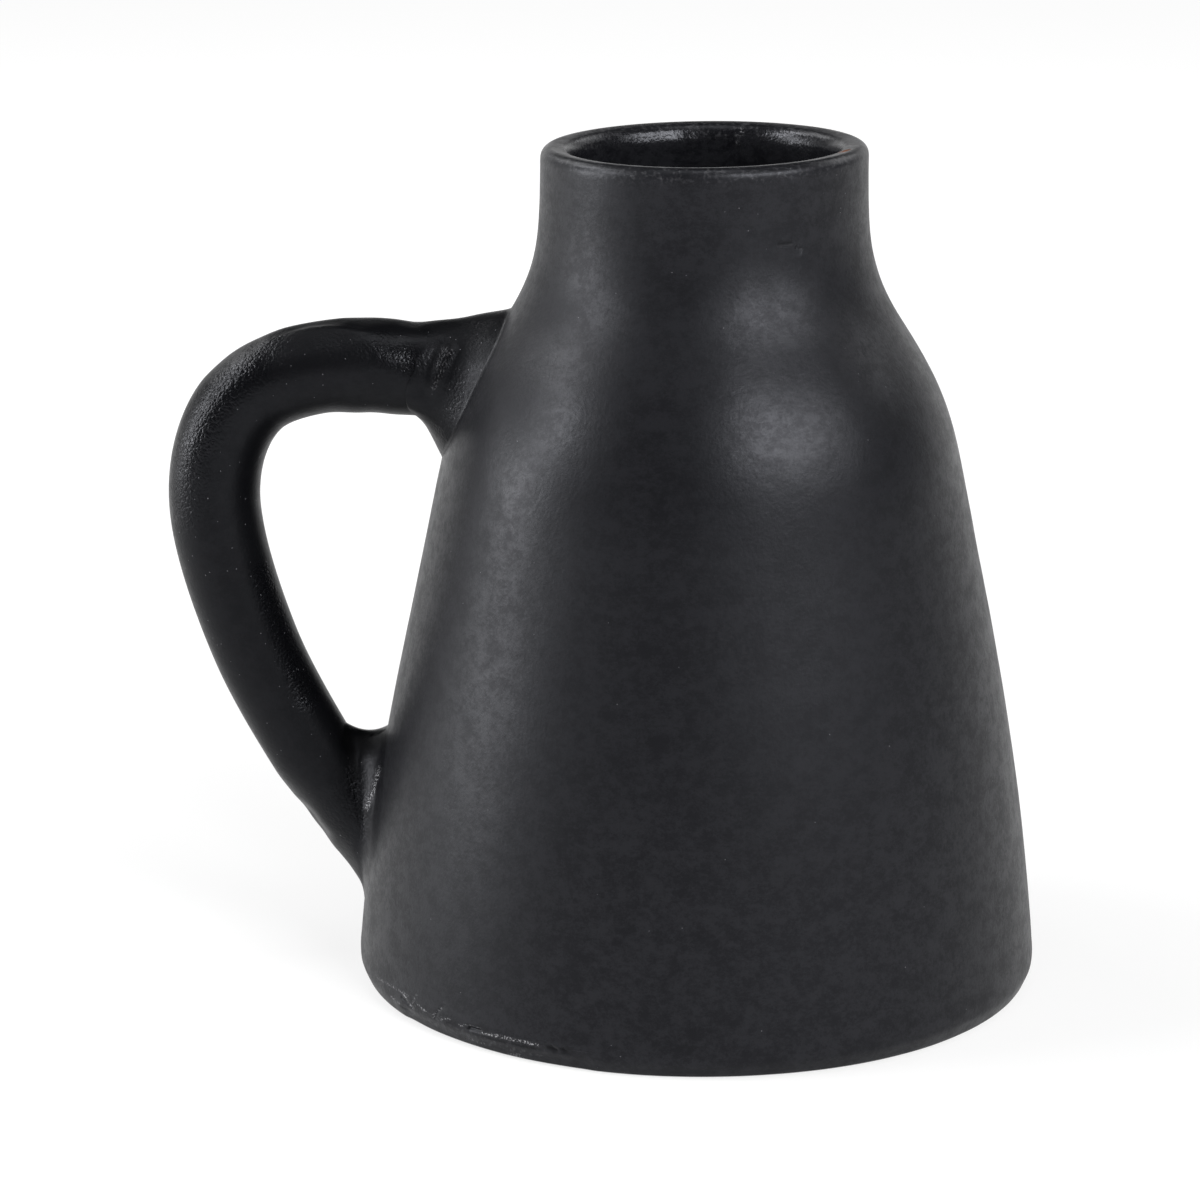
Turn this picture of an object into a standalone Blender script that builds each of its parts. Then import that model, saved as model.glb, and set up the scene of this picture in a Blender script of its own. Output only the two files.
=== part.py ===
"""Jug vase of black-coated terracotta: a turned wall on a slab floor, with one coiled handle luted on.

Lengths are in metres and +Z is up. The origin is the centre of the underside, on the table, and the
handle stands out along -X. The pieces are those that the potter shapes apart and presses together, so
each joint takes its form from the neighbour's own outline, moved out by one joint gap.
"""

import math

import bmesh
import bpy
from mathutils import Matrix, Vector

# Wall: corners of its outer outline, from the rim down to the foot
VASE_HEIGHT = 0.210
RIM_RADIUS = 0.0397
NECK_HEIGHT = 0.0335
THROAT_RADIUS = 0.0412
SHOULDER_DROP = 0.0258
SHOULDER_RADIUS = 0.0603
BELLY_HEIGHT = 0.0472
BELLY_RADIUS = 0.0819
FOOT_RADIUS = 0.0856

# Wall: radii of the sweeps that round those corners, its thickness and its lip
THROAT_SWEEP = 0.044
SHOULDER_SWEEP = 0.080
BELLY_SWEEP = 0.650
WALL_THICKNESS = 0.007
LIP_ROUND = 0.0037
LIP_EDGE = 0.0014

# Floor slab, with its edge pared in underneath, and the coil that seals the corner inside
SLAB_THICKNESS = 0.006
SLAB_EDGE_ROUND = 0.0008
PARE_WIDTH = 0.0018
PARE_HEIGHT = 0.0038
SEAM_COIL_LEG = 0.009
SEAM_COIL_HOLLOW = 0.0015

# Handle coil: heights of its centre line, and how far it stands off the wall there
COIL_RADIUS = 0.0114
COIL_FOOT_RADIUS = 0.0104
HANDLE_ROOT_RISE = 0.001
HANDLE_CREST_RISE = 0.0035
HANDLE_CREST_STANDOFF = 0.028
HANDLE_BEND_DROP = 0.0045
HANDLE_BEND_STANDOFF = 0.0513
HANDLE_REACH_DROP = 0.030
HANDLE_REACH_STANDOFF = 0.0543
HANDLE_GRIP_RISE = 0.050
HANDLE_GRIP_STANDOFF = 0.0372
HANDLE_HEEL_RISE = 0.0142
HANDLE_HEEL_STANDOFF = 0.0122
HANDLE_FOOT_HEIGHT = 0.0337

# Collar of clay round the handle's upper root, and the wad in the V at its lower end
COLLAR_HEIGHT = 0.041
COLLAR_WIDTH = 0.0325
COLLAR_REACH = 0.008
COLLAR_EDGE = 0.0011
COLLAR_DROP = 0.001
COLLAR_FLARE = 1.7
WEB_OPENING = 0.0098
WEB_WIDTH = 0.0165
WEB_DEPTH = 0.015
WEB_CORNER = 0.0025

# Fit between neighbours, and how far a piece runs into its neighbour before it is cut back
JOINT_GAP = 0.0003
ROOT_DEPTH = 0.016
COLLAR_DEPTH = 0.005
WEB_KEY = 0.004

# Fineness of the rounded shapes
TURN_STEPS = 60
SWEEP_STEPS = 5
LIP_STEPS = 3
EDGE_STEPS = 2
PATH_STEPS = 6
COIL_BEVEL = 8
COLLAR_SIDES = 28
COLLAR_RINGS = 6
WEB_STEPS = 10
WELD_DISTANCE = 0.00001
SMOOTH_ANGLE = math.radians(35)

# Coat colours, as linear reflectance, and roughness
COAT_COLOUR = (0.028, 0.028, 0.030)
COAT_ROUGHNESS = 0.52
HANDLE_COLOUR = (0.020, 0.020, 0.021)
HANDLE_ROUGHNESS = 0.42
INNER_COLOUR = (0.024, 0.022, 0.021)
INNER_ROUGHNESS = 0.30

# Heights that follow from the sizes above
FOOT_LEVEL = SLAB_THICKNESS + JOINT_GAP
THROAT_HEIGHT = VASE_HEIGHT - NECK_HEIGHT
SHOULDER_HEIGHT = THROAT_HEIGHT - SHOULDER_DROP
LIP_LEVEL = VASE_HEIGHT - 2 * LIP_ROUND
HANDLE_ROOT_HEIGHT = SHOULDER_HEIGHT + HANDLE_ROOT_RISE


def clear_scene():
    for obj in list(bpy.data.objects):
        bpy.data.objects.remove(obj, do_unlink=True)


def new_collection(name):
    collection = bpy.data.collections.new(name)
    bpy.context.scene.collection.children.link(collection)
    return collection


def clay_material(name, colour, roughness):
    material = bpy.data.materials.new(name)
    material.use_nodes = True
    shader = material.node_tree.nodes["Principled BSDF"]
    shader.inputs["Base Color"].default_value = (*colour, 1.0)
    shader.inputs["Roughness"].default_value = roughness
    shader.inputs["Metallic"].default_value = 0.0
    return material


def as_part(obj, material):
    """Gives a finished piece its material and smooth shading."""
    obj.data.materials.clear()
    obj.data.materials.append(material)
    obj.data.shade_smooth()
    obj.data.set_sharp_from_angle(angle=SMOOTH_ANGLE)
    return obj


def as_cutter(obj):
    obj.hide_render = True
    obj.display_type = "WIRE"
    return obj


# Outlines, as lists of (radius, height) points

def tangent_lengths(corners, sweeps):
    """How far from each corner its sweep starts, shared out where two sweeps meet on one straight run."""
    lengths = [0.0] * len(corners)
    for index in range(1, len(corners) - 1):
        back = (corners[index - 1] - corners[index]).normalized()
        ahead = (corners[index + 1] - corners[index]).normalized()
        lengths[index] = sweeps[index - 1] / math.tan(back.angle(ahead) / 2)
    for index in range(len(corners) - 1):
        run = (corners[index + 1] - corners[index]).length
        wanted = lengths[index] + lengths[index + 1]
        if wanted > run:
            lengths[index] *= run / wanted
            lengths[index + 1] *= run / wanted
    return lengths


def swept_outline(corner_points, sweeps, steps):
    """Straight runs between corners, with each inner corner rounded by a tangent arc."""
    corners = [Vector(point) for point in corner_points]
    lengths = tangent_lengths(corners, sweeps)
    points = [tuple(corners[0])]
    for index in range(1, len(corners) - 1):
        corner = corners[index]
        back = (corners[index - 1] - corner).normalized()
        ahead = (corners[index + 1] - corner).normalized()
        half = back.angle(ahead) / 2
        radius = lengths[index] * math.tan(half)
        centre = corner + (back + ahead).normalized() * (radius / math.sin(half))
        start = corner + back * lengths[index] - centre
        turn = math.pi - 2 * half
        if back.x * ahead.y - back.y * ahead.x > 0:
            turn = -turn
        for step in range(steps + 1):
            spoke = start.copy()
            spoke.rotate(Matrix.Rotation(turn * step / steps, 2))
            points.append(tuple(centre + spoke))
    points.append(tuple(corners[-1]))
    return without_repeats(points)


def without_repeats(points):
    """Drops a point that lies on the one before it, as where a sweep starts right at an end."""
    kept = points[:1]
    for point in points[1:]:
        if math.dist(point, kept[-1]) > WELD_DISTANCE:
            kept.append(point)
    return kept


def moved_outline(points, distance):
    """An outline that runs upwards, moved square to itself: outwards for a distance above zero."""
    vectors = [Vector(point) for point in points]
    runs = [(b - a).normalized() for a, b in zip(vectors, vectors[1:])]
    moved = []
    for index, point in enumerate(vectors):
        before = runs[max(index - 1, 0)]
        after = runs[min(index, len(runs) - 1)]
        along = (before + after).normalized()
        moved.append((point.x + along.y * distance, point.y - along.x * distance))
    return moved


def radius_at(points, height):
    """The radius of an outline that runs upwards, at a height on it."""
    for (low_radius, low), (high_radius, high) in zip(points, points[1:]):
        if low <= height <= high and high > low:
            share = (height - low) / (high - low)
            return low_radius + (high_radius - low_radius) * share
    return points[0][0] if height < points[0][1] else points[-1][0]


def wall_side():
    """The wall's outer outline from its foot up to where the lip begins."""
    corners = (
        (FOOT_RADIUS, FOOT_LEVEL),
        (BELLY_RADIUS, BELLY_HEIGHT),
        (SHOULDER_RADIUS, SHOULDER_HEIGHT),
        (THROAT_RADIUS, THROAT_HEIGHT),
        (RIM_RADIUS, LIP_LEVEL),
    )
    return swept_outline(corners, (BELLY_SWEEP, SHOULDER_SWEEP, THROAT_SWEEP), SWEEP_STEPS)


def wall_inside(side):
    """The wall's inner outline from its foot up to the last point under the lip."""
    inside = moved_outline(side, -WALL_THICKNESS)
    foot = (radius_at(inside, FOOT_LEVEL), FOOT_LEVEL)
    return [foot, *(point for point in inside[:-1] if point[1] > FOOT_LEVEL + WELD_DISTANCE)]


def lip_section():
    """The lip from its outer side over the top to its inner side: a full round outside, a crisp edge inside."""
    inner_radius = RIM_RADIUS - WALL_THICKNESS
    corners = (
        (RIM_RADIUS, LIP_LEVEL),
        (RIM_RADIUS, VASE_HEIGHT),
        (inner_radius, VASE_HEIGHT),
        (inner_radius, LIP_LEVEL),
    )
    return swept_outline(corners, (LIP_ROUND, LIP_EDGE), LIP_STEPS)


# Solids

def turned(name, section, collection, closed):
    """A section of (radius, height) points, running down its outer side, turned once round the axis."""
    count = len(section)
    edges = [(index, index + 1) for index in range(count - 1)]
    if closed:
        edges.append((count - 1, 0))
    mesh = bpy.data.meshes.new(name)
    mesh.from_pydata([(radius, 0.0, height) for radius, height in section], edges, [])
    obj = bpy.data.objects.new(name, mesh)
    collection.objects.link(obj)
    screw = obj.modifiers.new("turn", "SCREW")
    screw.axis = "Z"
    screw.angle = math.tau
    screw.steps = TURN_STEPS
    screw.render_steps = TURN_STEPS
    screw.use_merge_vertices = True
    screw.merge_threshold = WELD_DISTANCE
    screw.use_smooth_shade = True
    return obj


def curve_as_mesh(curve_object, collection):
    """Replaces a curve by its own tube or slab as a mesh, with the loose caps welded on."""
    name = curve_object.name
    bpy.context.view_layer.update()
    graph = bpy.context.evaluated_depsgraph_get()
    mesh = bpy.data.meshes.new_from_object(curve_object.evaluated_get(graph))
    shape = bmesh.new()
    shape.from_mesh(mesh)
    bmesh.ops.remove_doubles(shape, verts=shape.verts[:], dist=WELD_DISTANCE)
    bmesh.ops.recalc_face_normals(shape, faces=shape.faces[:])
    shape.to_mesh(mesh)
    shape.free()
    place = curve_object.matrix_world.copy()
    bpy.data.objects.remove(curve_object, do_unlink=True)
    obj = bpy.data.objects.new(name, mesh)
    obj.matrix_world = place
    collection.objects.link(obj)
    return obj


def fit(piece, tool, operation="DIFFERENCE"):
    boolean = piece.modifiers.new(f"fit to {tool.name}", "BOOLEAN")
    boolean.operation = operation
    boolean.object = tool
    boolean.solver = "EXACT"


def make_body_wall(collection, material):
    side = wall_side()
    section = side[::-1] + wall_inside(side) + lip_section()[:0:-1]
    return as_part(turned("body_wall", section, collection, closed=True), material)


def make_base_slab(collection, material):
    corners = (
        (0.0, SLAB_THICKNESS),
        (FOOT_RADIUS, SLAB_THICKNESS),
        (FOOT_RADIUS, PARE_HEIGHT),
        (FOOT_RADIUS - PARE_WIDTH, 0.0),
        (0.0, 0.0),
    )
    section = swept_outline(corners, (SLAB_EDGE_ROUND,) * 3, EDGE_STEPS)
    return as_part(turned("base_slab", section, collection, closed=False), material)


def make_seam_coil(collection, material):
    """A thumbed fillet: one leg follows the wall, one lies on the floor, and the face between is hollow."""
    inside = wall_inside(wall_side())
    low = FOOT_LEVEL
    high = low + SEAM_COIL_LEG
    heights = [high, *(height for _, height in reversed(inside) if low < height < high), low]
    seat = [Vector((radius_at(inside, height) - JOINT_GAP, height)) for height in heights]
    top = seat[0]
    toe = seat[-1] - Vector((SEAM_COIL_LEG, 0.0))
    inward = Vector((1.0, -1.0)).normalized()
    hollow = []
    for step in range(1, LIP_STEPS):
        share = step / LIP_STEPS
        depth = SEAM_COIL_HOLLOW * math.sin(math.pi * share)
        hollow.append(tuple(toe.lerp(top, share) + inward * depth))
    section = [*(tuple(point) for point in seat), tuple(toe), *hollow]
    return as_part(turned("seam_coil", section, collection, closed=True), material)


def handle_path(side):
    """The handle's centre line as (radius, height) points, from inside the shoulder to inside the belly."""
    def off_wall(standoff, height):
        return Vector((radius_at(side, height) + standoff, height))

    root = off_wall(0.0, HANDLE_ROOT_HEIGHT)
    crest = off_wall(HANDLE_CREST_STANDOFF, HANDLE_ROOT_HEIGHT + HANDLE_CREST_RISE)
    bend = off_wall(HANDLE_BEND_STANDOFF, HANDLE_ROOT_HEIGHT - HANDLE_BEND_DROP)
    reach = off_wall(HANDLE_REACH_STANDOFF, HANDLE_ROOT_HEIGHT - HANDLE_REACH_DROP)
    grip = off_wall(HANDLE_GRIP_STANDOFF, HANDLE_FOOT_HEIGHT + HANDLE_GRIP_RISE)
    heel = off_wall(HANDLE_HEEL_STANDOFF, HANDLE_FOOT_HEIGHT + HANDLE_HEEL_RISE)
    foot = off_wall(0.0, HANDLE_FOOT_HEIGHT)
    first = root - Vector((ROOT_DEPTH, 0.0))
    last = foot + (foot - heel).normalized() * ROOT_DEPTH
    knots = [first, root, crest, bend, reach, grip, heel, foot, last]
    return smooth_path(knots)


def smooth_path(knots):
    """A smooth curve through the knots, each stretch a cubic whose slopes come from its neighbours."""
    ends = [2 * knots[0] - knots[1], *knots, 2 * knots[-1] - knots[-2]]
    points = []
    for before, start, end, after in zip(ends, ends[1:], ends[2:], ends[3:]):
        leave = (end - before) / 2
        arrive = (after - start) / 2
        for step in range(PATH_STEPS):
            t = step / PATH_STEPS
            point = start * (2 * t**3 - 3 * t**2 + 1) + leave * (t**3 - 2 * t**2 + t)
            point += end * (3 * t**2 - 2 * t**3) + arrive * (t**3 - t**2)
            points.append(point)
    points.append(knots[-1])
    return points


def coil_radii(path):
    """The coil keeps its thickness over the top half and thins towards its foot."""
    half = len(path) // 2
    radii = []
    for index in range(len(path)):
        share = max(0.0, (index - half) / (len(path) - 1 - half))
        radii.append(COIL_RADIUS + (COIL_FOOT_RADIUS - COIL_RADIUS) * share)
    return radii


def clay_coil(name, path, radii, collection):
    """A rolled coil of clay along a path in the handle's plane."""
    curve = bpy.data.curves.new(name, "CURVE")
    curve.dimensions = "3D"
    curve.bevel_depth = COIL_RADIUS
    curve.bevel_resolution = COIL_BEVEL
    curve.use_fill_caps = True
    spline = curve.splines.new("POLY")
    spline.points.add(len(path) - 1)
    for point, place, radius in zip(spline.points, path, radii):
        point.co = (-place.x, 0.0, place.y, 1.0)
        point.radius = radius / COIL_RADIUS
    obj = bpy.data.objects.new(name, curve)
    collection.objects.link(obj)
    return curve_as_mesh(obj, collection)


def make_handle_coil(collection, material, path, wall_cutter):
    coil = clay_coil("handle_coil", path, coil_radii(path), collection)
    fit(coil, wall_cutter)
    return as_part(coil, material)


def make_upper_collar(collection, material, side, wall_cutter, coil_cutter):
    """A loft from a tall oval lying along the shoulder to a tight oval round the coil."""
    low = HANDLE_ROOT_HEIGHT - COLLAR_DROP - COLLAR_HEIGHT / 2
    high = HANDLE_ROOT_HEIGHT - COLLAR_DROP + COLLAR_HEIGHT / 2
    lean = math.atan2(radius_at(side, low) - radius_at(side, high), high - low)
    seat = Vector((radius_at(side, HANDLE_ROOT_HEIGHT), HANDLE_ROOT_HEIGHT - COLLAR_DROP))
    mouth = Vector((seat.x + COLLAR_REACH, HANDLE_ROOT_HEIGHT + HANDLE_CREST_RISE / 2))
    mouth_half = COIL_RADIUS + COLLAR_EDGE
    shape = bmesh.new()
    rings = []
    shares = [-COLLAR_DEPTH / COLLAR_REACH]
    shares += [ring / (COLLAR_RINGS - 1) for ring in range(COLLAR_RINGS)]
    for share in shares:
        spread = (1.0 - max(share, 0.0)) ** COLLAR_FLARE
        tall = mouth_half / math.cos(lean) + (COLLAR_HEIGHT / 2 - mouth_half / math.cos(lean)) * spread
        wide = mouth_half + (COLLAR_WIDTH / 2 - mouth_half) * spread
        centre = seat.lerp(mouth, share)
        place = Matrix.Translation((-centre.x, 0.0, centre.y))
        place @= Matrix.Rotation(math.pi / 2 + lean, 4, "Y")
        place @= Matrix.Diagonal((tall, wide, 1.0, 1.0))
        made = bmesh.ops.create_circle(shape, segments=COLLAR_SIDES, radius=1.0, matrix=place)
        rings.append({edge for vert in made["verts"] for edge in vert.link_edges})
    for inner, outer in zip(rings, rings[1:]):
        bmesh.ops.bridge_loops(shape, edges=list(inner | outer))
    bmesh.ops.holes_fill(shape, edges=list(rings[0] | rings[-1]), sides=0)
    bmesh.ops.recalc_face_normals(shape, faces=shape.faces[:])
    mesh = bpy.data.meshes.new("upper_collar")
    shape.to_mesh(mesh)
    shape.free()
    collar = bpy.data.objects.new("upper_collar", mesh)
    collection.objects.link(collar)
    fit(collar, wall_cutter)
    fit(collar, coil_cutter)
    return as_part(collar, material)


def web_top(path, side):
    """Where the V between coil and wall has opened to the web's width, followed up from the foot."""
    radii = coil_radii(path)
    for index in range(len(path) - 2, 0, -1):
        along = (path[index - 1] - path[index + 1]).normalized()
        inner_edge = path[index] + Vector((-along.y, along.x)) * radii[index]
        if inner_edge.x - radius_at(side, inner_edge.y) > WEB_OPENING:
            return path[index], inner_edge.y
    raise ValueError("the handle never leaves the wall far enough for a web")


def make_lower_web(collection, material, path, side, wall_cutter, coil_cutter):
    """A wad with a level top and a rounded underside, pressed from wall to coil and cut back to both."""
    coil_centre, top = web_top(path, side)
    near = radius_at(side, top) - WEB_KEY
    half = WEB_WIDTH / 2
    outline = [(half - WEB_CORNER, top), (half, top - WEB_CORNER)]
    for step in range(1, WEB_STEPS):
        turn = math.pi * step / WEB_STEPS
        drop = WEB_CORNER + (WEB_DEPTH - WEB_CORNER) * math.sin(turn)
        outline.append((half * math.cos(turn), top - drop))
    outline += [(-half, top - WEB_CORNER), (WEB_CORNER - half, top)]
    curve = bpy.data.curves.new("lower_web", "CURVE")
    curve.dimensions = "2D"
    curve.fill_mode = "BOTH"
    curve.extrude = (coil_centre.x - near) / 2
    spline = curve.splines.new("POLY")
    spline.points.add(len(outline) - 1)
    for point, (across, height) in zip(spline.points, outline):
        point.co = (across, height, 0.0, 1.0)
    spline.use_cyclic_u = True
    flat = bpy.data.objects.new("lower_web", curve)
    flat.rotation_euler = (math.pi / 2, 0.0, math.pi / 2)
    flat.location = (-(near + coil_centre.x) / 2, 0.0, 0.0)
    collection.objects.link(flat)
    web = curve_as_mesh(flat, collection)
    fit(web, wall_cutter)
    fit(web, coil_cutter)
    return as_part(web, material)


def main():
    clear_scene()
    parts = new_collection("jug_vase")
    cutters = new_collection("cutters")
    coat = clay_material("black_coat", COAT_COLOUR, COAT_ROUGHNESS)
    slab_coat = clay_material("slab_coat", COAT_COLOUR, COAT_ROUGHNESS)
    handle_coat = clay_material("handle_coat", HANDLE_COLOUR, HANDLE_ROUGHNESS)
    collar_coat = clay_material("collar_coat", HANDLE_COLOUR, HANDLE_ROUGHNESS)
    web_coat = clay_material("web_coat", HANDLE_COLOUR, HANDLE_ROUGHNESS)
    inner_coat = clay_material("inner_coat", INNER_COLOUR, INNER_ROUGHNESS)

    side = wall_side()
    path = handle_path(side)
    clear_side = moved_outline(side, JOINT_GAP)
    wall_section = [(0.0, clear_side[-1][1]), *clear_side[::-1], (0.0, clear_side[0][1])]
    wall_cutter = as_cutter(turned("wall_cutter", wall_section, cutters, closed=False))
    wide_radii = [radius + JOINT_GAP for radius in coil_radii(path)]
    coil_cutter = as_cutter(clay_coil("coil_cutter", path, wide_radii, cutters))

    make_body_wall(parts, coat)
    make_base_slab(parts, slab_coat)
    make_seam_coil(parts, inner_coat)
    make_handle_coil(parts, handle_coat, path, wall_cutter)
    make_upper_collar(parts, collar_coat, side, wall_cutter, coil_cutter)
    make_lower_web(parts, web_coat, path, side, wall_cutter, coil_cutter)


main()
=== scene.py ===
# %% [markdown]
# # A jug vase in black-coated terracotta
#
# The real vase is thick red clay under a matt black coat. Its maker turned the wall, closed the foot with a
# slab, rolled a coil for the handle, thumbed it on at the shoulder and pressed it on low down. This lesson
# makes those pieces again with a fine surface, around a frame that already has the right sizes.

# %% Load the frame
import math

import bmesh
import bpy
import numpy as np
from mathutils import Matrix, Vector, noise
from mathutils.bvhtree import BVHTree


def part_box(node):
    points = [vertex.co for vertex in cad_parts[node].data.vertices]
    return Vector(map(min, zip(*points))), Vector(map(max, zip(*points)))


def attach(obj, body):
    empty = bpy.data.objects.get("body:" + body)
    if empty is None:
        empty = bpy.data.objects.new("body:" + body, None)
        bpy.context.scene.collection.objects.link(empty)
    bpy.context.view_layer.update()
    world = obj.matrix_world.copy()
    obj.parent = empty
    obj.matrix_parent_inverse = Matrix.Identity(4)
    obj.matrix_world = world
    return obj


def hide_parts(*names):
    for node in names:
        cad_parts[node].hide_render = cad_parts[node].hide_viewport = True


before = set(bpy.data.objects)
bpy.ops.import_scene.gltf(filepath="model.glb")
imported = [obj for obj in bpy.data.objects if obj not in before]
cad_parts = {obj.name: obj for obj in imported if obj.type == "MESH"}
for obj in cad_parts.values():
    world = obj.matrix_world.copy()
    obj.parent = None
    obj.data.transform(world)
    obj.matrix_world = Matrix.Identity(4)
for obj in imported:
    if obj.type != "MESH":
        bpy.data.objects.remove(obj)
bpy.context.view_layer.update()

MM = 0.001
print("frame nodes:", ", ".join(sorted(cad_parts)))

# %% [markdown]
# ## The camera
#
# The camera comes first, because marks on the clay are placed by where it sees them. A long lens from a
# little above gives the flat oval of the mouth and the gentle curve of the foot. The place, tilt and turn
# were found by fitting the turned outline to the picture. A shorter lens nearer by would also fill the
# frame, but it would open the oval too far.

# %% Set up the camera
PICTURE_SIZE = 1200
FOCAL_PIXELS = 4288.9
SENSOR_WIDTH = 36.0
CAMERA_PLACE = Vector((0.0, -1.0378, 0.3684))
CAMERA_TILT = math.radians(75.241)
CAMERA_TURN = math.radians(1.358)

bpy.ops.object.select_all(action="DESELECT")
bpy.ops.object.camera_add(location=CAMERA_PLACE, rotation=(CAMERA_TILT, 0.0, CAMERA_TURN))
camera = bpy.context.object
camera.name = "camera"
camera.data.sensor_width = SENSOR_WIDTH
camera.data.lens = SENSOR_WIDTH * FOCAL_PIXELS / PICTURE_SIZE
bpy.context.scene.camera = camera
bpy.context.view_layer.update()
print(f"lens {camera.data.lens:.1f} mm")

# %% [markdown]
# ## Measuring and marking
#
# Sizes are read off the frame by casting rays at it. Marks go on by strokes: a stroke runs through a few
# pixels of the picture, each found on the piece by a ray from the camera, and it either moves the clay in
# or out or paints a layer that a finish reads later. Sculpting by hand would do the same, but strokes in
# code come out alike each time.

# %% Find surfaces and places
SIGHT_DEPTHS = (0.95, 1.20, 250)


def skin(piece):
    """A search tree of a piece's faces, to find where a ray meets it."""
    return BVHTree.FromObject(piece, bpy.context.evaluated_depsgraph_get())


def spaced(low, high, rows):
    return [low + (high - low) * row / rows for row in range(rows + 1)]


def seen_at(surface, pixel):
    """The point of a surface that the camera sees at a pixel, or the nearest to a pixel just beside it."""
    half = PICTURE_SIZE / 2
    aim = Vector(((pixel[0] - half) / FOCAL_PIXELS, (half - pixel[1]) / FOCAL_PIXELS, -1.0)).normalized()
    aim.rotate(camera.rotation_euler)
    place = surface.ray_cast(CAMERA_PLACE, aim)[0]
    if place:
        return place
    beside = [surface.find_nearest(CAMERA_PLACE + aim * depth) for depth in spaced(*SIGHT_DEPTHS)]
    return min(beside, key=lambda found: found[3])[0]


# %% Strokes that press or paint
TINY = 1e-12


def ease(share):
    """Turns a share from 0 to 1 into one that starts and ends softly."""
    return share * share * (3.0 - 2.0 * share)


def points_of(piece):
    points = np.empty(3 * len(piece.data.vertices))
    piece.data.vertices.foreach_get("co", points)
    return points.reshape(-1, 3)


def normals_of(piece):
    normals = np.empty(3 * len(piece.data.vertices))
    piece.data.vertex_normals.foreach_get("vector", normals)
    return normals.reshape(-1, 3)


def move_points(piece, points):
    piece.data.vertices.foreach_set("co", points.ravel())
    piece.data.update()


def brush(points, path, width):
    """How much a stroke along a path touches each point: 1 on its middle line, 0 from its width on."""
    reach = np.full(len(points), np.inf)
    for start, end in zip(path, path[1:] or path):
        start, run = np.array(start), np.array(end - start)
        share = np.clip((points - start) @ run / max(run @ run, TINY), 0.0, 1.0)
        gap = np.linalg.norm(points - start - share[:, None] * run, axis=1)
        reach = np.minimum(reach, gap)
    return ease(np.clip(1.0 - reach / width, 0.0, 1.0))


def layer_of(piece, layer):
    attribute = piece.data.attributes.get(layer) or piece.data.attributes.new(layer, "FLOAT", "POINT")
    values = np.empty(len(piece.data.vertices))
    attribute.data.foreach_get("value", values)
    return attribute, values


def stroke(piece, surface, kind, pixels, width, amount, outward):
    """One stroke: kind press moves the clay in by an amount in mm, any other kind paints that layer."""
    path = [seen_at(surface, pixel) for pixel in pixels]
    points = points_of(piece)
    touch = brush(points, path, width * MM)
    if kind == "press":
        move_points(piece, points - outward(piece) * (touch * amount * MM)[:, None])
    else:
        attribute, values = layer_of(piece, kind)
        attribute.data.foreach_set("value", np.maximum(values, touch * amount))


# %% [markdown]
# ## The wall
#
# The wall is one turned shell: foot, belly, shoulder, throat and a rolled lip. It could be a stack of
# scaled loops, but a potter's wheel suggests the shorter way: trace half a section by extruding one vertex
# from point to point, and spin it round the axis. The heights and radii are read off the frame. The lip is
# finer than the frame's: it flares by less than half a millimetre, and its top slopes a little inwards.

# %% Measure the wall
wall_frame = skin(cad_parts["body_wall"])
RIM_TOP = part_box("body_wall")[1].z
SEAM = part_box("base_slab")[1].z
ASIDE = 0.01 * MM


def outer_radius(height):
    return wall_frame.ray_cast(Vector((1.0, ASIDE, height)), Vector((-1.0, 0.0, 0.0)))[0].x


def inner_radius(height):
    return wall_frame.ray_cast(Vector((0.0, ASIDE, height)), Vector((1.0, 0.0, 0.0)))[0].x


print(f"wall {RIM_TOP / MM:.0f} mm high, belly {outer_radius(0.05) / MM:.1f} mm from the axis")

# %% Trace and spin helpers
TURN_STEPS = 96
MERGE_DISTANCE = 0.01 * MM


def finish_mesh(piece, name, levels):
    """Names a piece, brings its origin home, smooths it and applies the subdivision."""
    piece.name = name
    bpy.ops.object.transform_apply(location=True, rotation=True, scale=True)
    if levels:
        smooth = piece.modifiers.new("smooth", "SUBSURF")
        smooth.levels = levels
        smooth.render_levels = levels
        bpy.ops.object.modifier_apply(modifier=smooth.name)
    bpy.ops.object.shade_smooth()
    print(f"{name}: {len(piece.data.polygons)} faces")
    return piece


def turn(name, section, closed, levels=2):
    """Traces a half section from (radius, height) points and spins it once round the axis."""
    places = [Vector((radius, 0.0, height)) for radius, height in section]
    bpy.ops.object.select_all(action="DESELECT")
    bpy.ops.mesh.primitive_circle_add(vertices=3, radius=MM, location=places[0])
    piece = bpy.context.object
    bpy.ops.object.mode_set(mode="EDIT")
    bpy.ops.mesh.merge(type="CENTER")
    for here, there in zip(places, places[1:]):
        bpy.ops.mesh.extrude_vertices_move(TRANSFORM_OT_translate={"value": there - here})
    if closed:
        bpy.ops.mesh.extrude_vertices_move(TRANSFORM_OT_translate={"value": places[0] - places[-1]})
    bpy.ops.mesh.select_all(action="SELECT")
    bpy.ops.mesh.spin(steps=TURN_STEPS, angle=math.tau, center=(0.0, 0.0, 0.0), axis=(0.0, 0.0, 1.0))
    bpy.ops.mesh.select_all(action="SELECT")
    bpy.ops.mesh.remove_doubles(threshold=MERGE_DISTANCE)
    bpy.ops.mesh.normals_make_consistent(inside=False)
    bpy.ops.object.mode_set(mode="OBJECT")
    return finish_mesh(piece, name, levels)


# %% Turn the wall
LIP_ROUND = 2.7 * MM
LIP_FLAT = 2.1 * MM
LIP_DROP = 0.35 * MM
LIP_DEPTH = 4.8 * MM
LIP_SPACE = 2.0 * MM
CREST_STEPS = 4
BRINK_STEPS = 6
FLARE = 0.4 * MM
FLARE_FROM = 0.190
OUTER_ROWS = 28
INNER_ROWS = 9
EDGE_HOLD = 0.06 * MM
LAP = 0.7 * MM


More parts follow.
